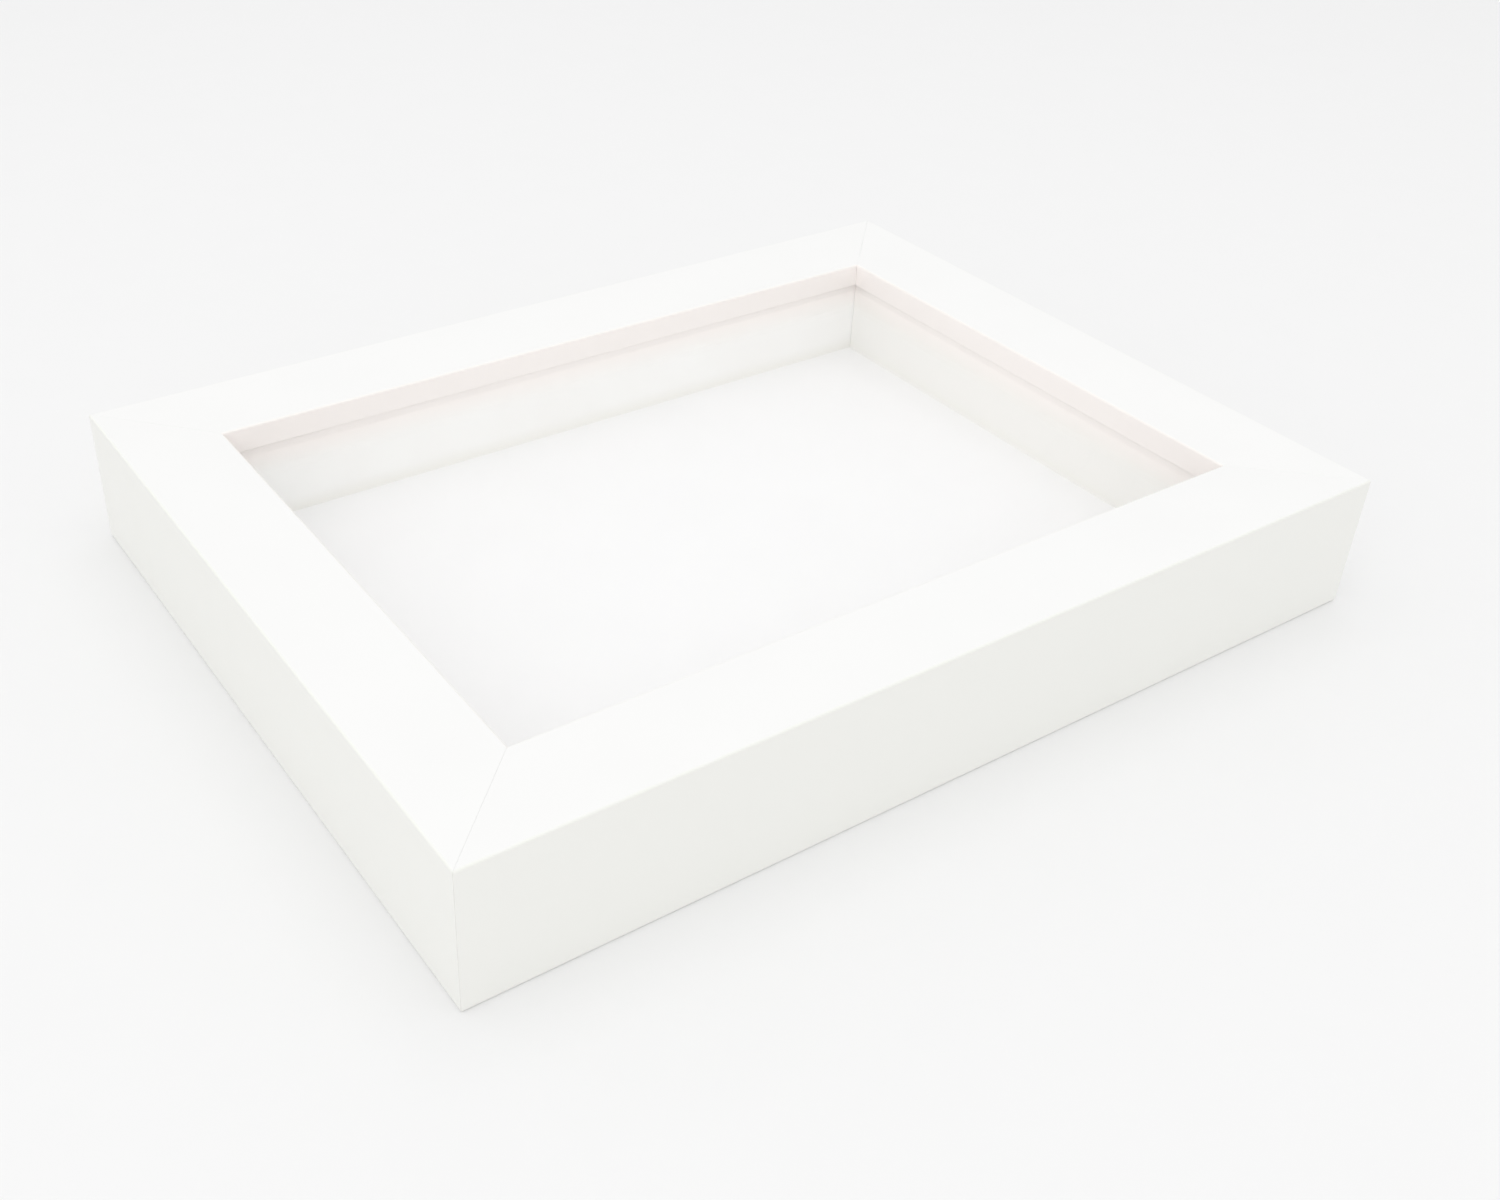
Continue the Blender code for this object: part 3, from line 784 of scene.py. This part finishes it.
def makeGlass():
    material, net, sockets = newMaterial("clearPicturePane", IOR=1.5, Transmission_Weight=1.0)
    place = net.place()
    rim = net.group(surface["rim"], **{"Vector": place, "Half Long": glassHigh.x, "Half Short": glassHigh.y,
                                       "Reach": 0.5 * mm})["Mask"]
    net.put(sockets["Base Color"], net.mix(rim, pane["tint"], pane["edgeTint"]))
    smears = net.span(net.noise(place, 26, 3, 0.6, 0.8), 0.58, 0.78, 0.0, 0.012)
    net.put(sockets["Roughness"], net.maths("ADD", smears, net.maths("MULTIPLY", rim, 0.35)))
    shader = net.tree.nodes["Principled BSDF"]
    path = net.tree.nodes.new("ShaderNodeLightPath")
    clear = net.tree.nodes.new("ShaderNodeBsdfTransparent")
    choose = net.tree.nodes.new("ShaderNodeMixShader")
    # Light passes straight through, and only what the eye sees is bent and mirrored
    passing = net.maths("MAXIMUM", path.outputs["Is Shadow Ray"], path.outputs["Is Diffuse Ray"])
    net.put(choose.inputs[0], passing)
    net.put(choose.inputs[1], shader.outputs[0])
    net.put(choose.inputs[2], clear.outputs[0])
    net.put(net.tree.nodes["Material Output"].inputs[0], choose.outputs[0])
    lift = Vector((0, 0, contactGap))
    mesh = easedBlock("glassPane", glassLow + lift, glassHigh + lift, pane["arris"], 1)
    piece = addPiece("glass_picture", mesh, Matrix(), material, "frame_box",
                     ["glass_pane"])
    flattenNormals(piece)


# Metal finishes

metal = {
    "zinc": (colour("C9CDD0"), colour("8F9498"), 0.27),
    "brass": (colour("D9B368"), colour("9A7638"), 0.29),
}


def plated(name, finish):
    tone, dull, sheen = metal[finish]
    material, net, sockets = newMaterial(name, Metallic=1.0)
    place = net.place()
    plate = net.group(surface["plating"], Vector=place, Tone=tone, Dull=dull, Sheen=sheen)
    net.put(sockets["Base Color"], plate["Color"])
    net.put(sockets["Roughness"], plate["Roughness"])
    net.put(sockets["Normal"], net.bump(plate["Height"], 0.18, 0.03 * mm))
    return material


# Turn buttons: pressed steel teardrops with a rib down the arm and a lifted tip

button = {
    "pivotRadius": 3.8 * mm,
    "tipRadius": 2.8 * mm,
    "length": 10.2 * mm,
    "holeRadius": 1.4 * mm,
    "edge": 0.18 * mm,
    "ribHeight": 0.34 * mm,
    "ribWidth": 1.5 * mm,
    "tipLift": 0.3 * mm,
}


def buttonPivot(corner):
    end, hand = corner.split("_")
    low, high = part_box(f"button_screw_{end}_{hand}")
    return (low + high) / 2


def teardrop(inset, side=7, pivotSteps=30, tipSteps=16):
    # Two arcs and their common tangents, drawn inset from the outline. The arm runs along X.
    wide, narrow = button["pivotRadius"], button["tipRadius"]
    lean = acos((wide - narrow) / button["length"])
    around = [lean + (2 * pi - 2 * lean) * i / pivotSteps for i in range(pivotSteps + 1)]
    pivotEnd = [Vector((cos(a), sin(a))) * (wide - inset) for a in around]
    around = [-lean + 2 * lean * i / tipSteps for i in range(tipSteps + 1)]
    tipEnd = [Vector((button["length"], 0)) + Vector((cos(a), sin(a))) * (narrow - inset) for a in around]
    lower = [pivotEnd[-1].lerp(tipEnd[0], i / side) for i in range(1, side)]
    upper = [tipEnd[-1].lerp(pivotEnd[0], i / side) for i in range(1, side)]
    return pivotEnd + lower + tipEnd + upper


def pressed(point):
    # How far the sheet is pushed out of flat, away from the panel
    along, off = point.x, abs(point.y)
    rib = smoothStep(along, 1.3 * button["pivotRadius"], 1.7 * button["pivotRadius"])
    rib *= 1 - smoothStep(along, button["length"] - 1.6 * mm, button["length"] + 0.6 * mm)
    rib *= 1 - smoothStep(off, 0.15 * button["ribWidth"], button["ribWidth"])
    tip = smoothStep(along, button["length"] - 0.5 * mm, button["length"] + button["tipRadius"])
    return button["ribHeight"] * rib + button["tipLift"] * tip


def buttonMesh(low, high):
    edge = button["edge"]
    outer = teardrop(edge)
    inner = [point.normalized() * (button["holeRadius"] + edge) for point in outer]
    steps = [i / 9 for i in range(10)]
    flat = [[a.lerp(b, t) for a, b in zip(inner, outer)] for t in steps]
    corner = [(edge * (1 - sin(a)), edge * (1 - cos(a))) for a in (pi / 6, pi / 3, pi / 2)]
    # Rings run out over the upper face, round the edge, back in over the lower face and up the hole
    rings = [(ring, high) for ring in flat]
    rings += [(teardrop(inset), high - drop) for inset, drop in corner]
    rings += [(teardrop(inset), low + drop) for inset, drop in corner[::-1]]
    rings += [(ring, low) for ring in flat[::-1]]
    rim = [([p.normalized() * (button["holeRadius"] + inset) for p in outer], drop) for inset, drop in corner]
    rings += [(ring, low + drop) for ring, drop in rim]
    rings += [(ring, high - drop) for ring, drop in rim[::-1]]
    solid = [[(p.x, p.y, z - pressed(p)) for p in ring] for ring, z in rings]
    return ringMesh("turnButton", solid, "joined", 50)


def makeButtons(material):
    mesh = None
    for corner in corners:
        node = "turn_button_" + corner
        low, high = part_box(node)
        mesh = mesh or buttonMesh(low.z, high.z)
        pivot = buttonPivot(corner)
        turn = pi / 2 if pivot.y < 0 else -pi / 2
        place = Matrix.Translation((pivot.x, pivot.y, 0)) @ Matrix.Rotation(turn, 4, "Z")
        addPiece("button_" + corner, mesh, place, material, corner + "_button", [node])


# Screws and nails

screw = {
    "headRadius": 2.2 * mm,
    "coreRadius": 0.78 * mm,
    "threadRadius": 1.1 * mm,
    "pitch": 1.0 * mm,
    "pointLength": 2.4 * mm,
    "crown": 0.15 * mm,
    "underHead": 0.9 * mm,
    "crossWidth": 0.42 * mm,
    "crossReach": 1.25 * mm,
    "crossDepth": 0.5 * mm,
    "stopStep": 0.7,
}
nail = {
    "headRadius": 1.7 * mm,
    "shankRadius": 0.7 * mm,
    "underHead": 1.0 * mm,
    "headThickness": 0.5 * mm,
    "pointLength": 1.6 * mm,
    "ringPitch": 0.7 * mm,
    "ringDepth": 0.08 * mm,
}


def domedHead(radius, crown, underHead, flatShare):
    # From the middle of the crown out over a rounded shoulder to the flat underside, as (radius, height)
    depth = underHead - crown
    arc = [pi / 2 * i / 8 for i in range(9)]
    profile = [(radius * 0.02, crown), (radius * flatShare * 0.6, crown + 0.02 * depth)]
    reach = radius * (1 - flatShare)
    for angle in arc:
        fall = 0.06 * depth + 0.8 * depth * (1 - cos(angle))
        profile.append((radius * flatShare + reach * sin(angle), crown + fall))
    return profile + [(radius, underHead - 0.05 * depth), (radius * 0.97, underHead)]


def screwMesh(tip):
    steps = 24
    head = domedHead(screw["headRadius"], screw["crown"], screw["underHead"], 0.45)
    rings = [circlePoints(r, z, steps) for r, z in head + [(screw["coreRadius"] * 1.15, screw["underHead"])]]
    # The thread winds down the core from just below the head and dies out into the point
    z = screw["underHead"] + 0.4 * mm
    while z < tip:
        taper = min((tip - z) / screw["pointLength"], 1)
        ring = []
        for i in range(steps):
            phase = (z / screw["pitch"] - i / steps) % 1
            crest = max(0, 1 - abs(phase - 0.5) / 0.26)
            start = smoothStep(z, screw["underHead"] + 0.5 * mm, screw["underHead"] + 1.6 * mm)
            radius = screw["coreRadius"] + (screw["threadRadius"] - screw["coreRadius"]) * crest * start
            angle = 2 * pi * i / steps
            radius *= 0.06 + 0.94 * taper ** 0.8
            ring.append((radius * cos(angle), radius * sin(angle), z))
        rings.append(ring)
        z += screw["pitch"] / 8
    rings.append(circlePoints(0.03 * mm, tip, steps))
    return ringMesh("buttonScrew", rings, "caps", 40)


def crossCutters():
    # The two arms of a driver's cross, narrowing as they go in
    pieces = []
    for turn in (0, pi / 2):
        shape = bmesh.new()
        rows = []
        crown = screw["crown"]
        for z, share in ((-0.3 * mm, 1.0), (crown + 0.05 * mm, 1.0), (crown + screw["crossDepth"], 0.55)):
            reach = screw["crossReach"] * share
            half = screw["crossWidth"] / 2 * (0.5 + 0.5 * share)
            oblong = [(-reach, -half), (reach, -half), (reach, half), (-reach, half)]
            rows.append([shape.verts.new((x, y, z)) for x, y in oblong])
        for first, second in zip(rows, rows[1:]):
            bridge(shape, first, second)
        shape.faces.new(rows[0][::-1])
        shape.faces.new(rows[-1])
        bmesh.ops.recalc_face_normals(shape, faces=shape.faces)
        pieces.append((finishMesh("cross", shape, 30), Matrix.Rotation(turn + pi / 8, 4, "Z")))
    return pieces


def makeScrews(material):
    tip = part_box("button_screw_bottom_left")[1].z
    blank = bpy.data.objects.new("screw", screwMesh(tip))
    bpy.context.scene.collection.objects.link(blank)
    for cutter in crossCutters():
        cutAll(blank, [cutter])
    mesh = blank.data
    bpy.data.objects.remove(blank, do_unlink=True)
    mesh.name = "buttonScrew"
    mesh.shade_smooth()
    mesh.set_sharp_from_angle(angle=radians(40))
    for i, corner in enumerate(corners):
        pivot = buttonPivot(corner)
        # No two crosses come to rest at the same angle
        place = Matrix.Translation((pivot.x, pivot.y, 0)) @ Matrix.Rotation(screw["stopStep"] * i, 4, "Z")
        addPiece("screw_" + corner, mesh, place, material, "frame_box",
                 ["button_screw_" + corner])


def nailMesh(tip):
    under = nail["underHead"]
    profile = domedHead(nail["headRadius"], under - nail["headThickness"], under, 0.2)
    profile.append((nail["shankRadius"], under))
    # Barbed rings down the shank
    z = under + 0.8 * mm
    while z < tip - nail["pointLength"] - nail["ringPitch"]:
        groove = nail["shankRadius"] - nail["ringDepth"]
        profile += [(nail["shankRadius"], z), (groove, z + 0.1 * mm),
                    (nail["shankRadius"], z + nail["ringPitch"])]
        z += nail["ringPitch"] + 0.05 * mm
    profile += [(nail["shankRadius"], tip - nail["pointLength"]), (0.04 * mm, tip)]
    return ringMesh("hangerNail", [circlePoints(r, z, 24) for r, z in profile], "caps", 40)


def makeNails(material):
    mesh = None
    for node in fixings:
        if not node.startswith("hanger_nail"):
            continue
        low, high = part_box(node)
        mesh = mesh or nailMesh(high.z)
        place = Matrix.Translation(((low.x + high.x) / 2, (low.y + high.y) / 2, 0))
        name = node.replace("hanger_nail", "nail")
        addPiece(name, mesh, place, material, "frame_box", [node])


# Sawtooth hangers

hanger = {
    "width": 8.0 * mm,
    "thickness": 0.5 * mm,
    "foot": 7.0 * mm,
    "ramp": 2.0 * mm,
    "rise": 0.9 * mm,
    "teeth": 8,
    "pitch": 3.0 * mm,
    "toothDepth": 1.2 * mm,
    "holeRadius": 1.0 * mm,
    "cornerRadius": 1.4 * mm,
    "edge": 0.1 * mm,
    "nailReach": 18.5 * mm,
}


def hangerOutline(half):
    # Round corners in turn from the lower right, with the teeth cut in the upper edge after the second
    width = hanger["width"] / 2
    radius = hanger["cornerRadius"]
    outline = []
    for i, (right, upper) in enumerate(((1, -1), (1, 1), (-1, 1), (-1, -1))):
        middle = Vector((right * (half - radius), upper * (width - radius)))
        start = -pi / 2 + i * pi / 2
        for k in range(7):
            angle = start + pi / 2 * k / 6
            outline.append(middle + Vector((cos(angle), sin(angle))) * radius)
        if i == 1:
            span = hanger["teeth"] * hanger["pitch"] / 2
            for tooth in range(hanger["teeth"]):
                peak = span - tooth * hanger["pitch"]
                valley = peak - hanger["pitch"] / 2
                root = width - hanger["toothDepth"]
                outline += [Vector((peak, width)), Vector((valley + 0.15 * mm, root)),
                            Vector((valley - 0.15 * mm, root))]
            outline.append(Vector((-span, width)))
    return outline


def hangerMesh(half, foot):
    curve = bpy.data.curves.new("hanger", "CURVE")
    curve.dimensions = "2D"
    curve.fill_mode = "BOTH"
    curve.extrude = hanger["thickness"] / 2 - hanger["edge"]
    curve.bevel_depth = hanger["edge"]
    curve.bevel_resolution = 2
    curve.offset = -hanger["edge"]
    loops = [hangerOutline(half)]
    for x in (-hanger["nailReach"], hanger["nailReach"]):
        hole = [Vector(point[:2]) for point in circlePoints(hanger["holeRadius"], 0, 28, (x, 0))]
        loops.append(hole[::-1])
    for loop in loops:
        spline = curve.splines.new("POLY")
        spline.points.add(len(loop) - 1)
        spline.use_cyclic_u = True
        for point, corner in zip(spline.points, loop):
            point.co = (corner.x, corner.y, 0, 1)
    drawn = bpy.data.objects.new("hanger", curve)
    bpy.context.scene.collection.objects.link(drawn)
    graph = bpy.context.evaluated_depsgraph_get()
    flat = bpy.data.meshes.new_from_object(drawn.evaluated_get(graph))
    bpy.data.objects.remove(drawn, do_unlink=True)
    shape = bmesh.new()
    shape.from_mesh(flat)
    bpy.data.meshes.remove(flat)
    bmesh.ops.remove_doubles(shape, verts=shape.verts, dist=1e-7)
    # Cuts across the strip, so that it can bend smoothly up its two ramps
    bend = half - hanger["foot"]
    for end in (-1, 1):
        for i in range(13):
            x = end * (bend - hanger["ramp"] * (i - 2) / 8)
            geometry = shape.verts[:] + shape.edges[:] + shape.faces[:]
            bmesh.ops.bisect_plane(shape, geom=geometry, dist=1e-8, plane_co=(x, 0, 0),
                                   plane_no=(1, 0, 0))
    for vert in shape.verts:
        drop = hanger["rise"] * (1 - smoothStep(abs(vert.co.x), bend - hanger["ramp"], bend))
        vert.co.z += foot - drop
    bmesh.ops.recalc_face_normals(shape, faces=shape.faces)
    return finishMesh("sawtoothHanger", shape, 45)


def makeHangers(material):
    for side, wayUp in (("top", "landscape"), ("left", "portrait")):
        node = "sawtooth_hanger_" + wayUp
        place = sidePlace(side)
        low, high = localBox(node, place)
        middle = place @ Matrix.Translation(((low.x + high.x) / 2, (low.y + high.y) / 2, 0))
        mesh = hangerMesh((high.x - low.x) / 2, high.z - hanger["thickness"] / 2)
        addPiece("hanger_" + wayUp, mesh, middle, material, "frame_box", [node])


# The box is put together

zinc = plated("zincPlate", "zinc")
brass = plated("brassPlate", "brass")
makeRails(railPaint())
print("rails cut and painted")
makeVNails(zinc)
makeSpacers()
makeBoard()
makePanel()
makeGlass()
print("glass, spacers and boards laid in")
makeButtons(zinc)
makeScrews(zinc)
makeHangers(brass)
makeNails(brass)
print("back fittings made")

# Floor, light and camera

studio = {
    "floorTone": colour("EDEDED"),
    "floorShade": colour("EBEBEB"),
    "roomGlow": 0.9135,
    "windowGlow": 0.103,
    "lamps": [
        # name, place, size, watts
        ("overTable", (0.0, 0.0, 1.0), 0.9, 1.23),
        ("frontLeft", (-0.9, -0.9, 1.2), 1.4, 3.95),
    ],
    "floorHalf": 20.0,
    "cameraPlace": (-0.18191, -0.23994, 0.19999),
    "cameraTurn": (55.5186, -1.6472, -34.1979),  # degrees
    "lens": 39.881,
    "sensor": 36,
    "shift": (0.0523, -0.00602),
}


def makeFloor():
    material, net, sockets = newMaterial("paleTable")
    place = net.place()
    paper = net.group(surface["paper"], **{
        "Vector": place, "Tone": studio["floorTone"], "Fleck": studio["floorShade"], "Fleck Amount": 0.2})
    net.put(sockets["Base Color"], paper["Color"])
    net.put(sockets["Roughness"], paper["Roughness"])
    shape = bmesh.new()
    bmesh.ops.create_grid(shape, x_segments=1, y_segments=1, size=studio["floorHalf"])
    floor = bpy.data.objects.new("floor", finishMesh("floor", shape, 30))
    floor.data.materials.append(material)
    bpy.context.scene.collection.objects.link(floor)


def addLamp(name, place, size, power):
    # A square soft light that faces the middle of the box
    lamp = bpy.data.lights.new(name, "AREA")
    lamp.shape = "SQUARE"
    lamp.size = size
    lamp.energy = power
    holder = bpy.data.objects.new(name, lamp)
    bpy.context.scene.collection.objects.link(holder)
    holder.location = place
    holder.rotation_euler = (-Vector(place)).to_track_quat("-Z", "Y").to_euler()


def makeStudio():
    world = bpy.data.worlds.new("studio")
    bpy.context.scene.world = world
    world.use_nodes = True
    backdrop = world.node_tree.nodes["Background"]
    backdrop.inputs["Color"].default_value = (1, 1, 1, 1)
    # A white room, a little brighter on the left
    net = Net(world.node_tree)
    around = net.axes(net.tree.nodes.new("ShaderNodeTexCoord").outputs["Generated"])
    leftward = net.maths("MAXIMUM", net.maths("MULTIPLY", around["X"], -1.0), 0.0)
    window = net.maths("MULTIPLY", leftward, studio["windowGlow"])
    net.put(backdrop.inputs["Strength"], net.maths("ADD", window, studio["roomGlow"]))
    for name, place, size, power in studio["lamps"]:
        addLamp(name, place, size, power)
    bpy.context.scene.view_settings.view_transform = "Standard"
    camera = bpy.data.cameras.new("camera")
    camera.lens = studio["lens"]
    camera.sensor_width = studio["sensor"]
    camera.shift_x, camera.shift_y = studio["shift"]
    camera.clip_start = 0.01
    holder = bpy.data.objects.new("camera", camera)
    bpy.context.scene.collection.objects.link(holder)
    holder.location = studio["cameraPlace"]
    holder.rotation_euler = Euler([radians(angle) for angle in studio["cameraTurn"]])
    bpy.context.scene.camera = holder


makeFloor()
makeStudio()
print("table, light and camera set")
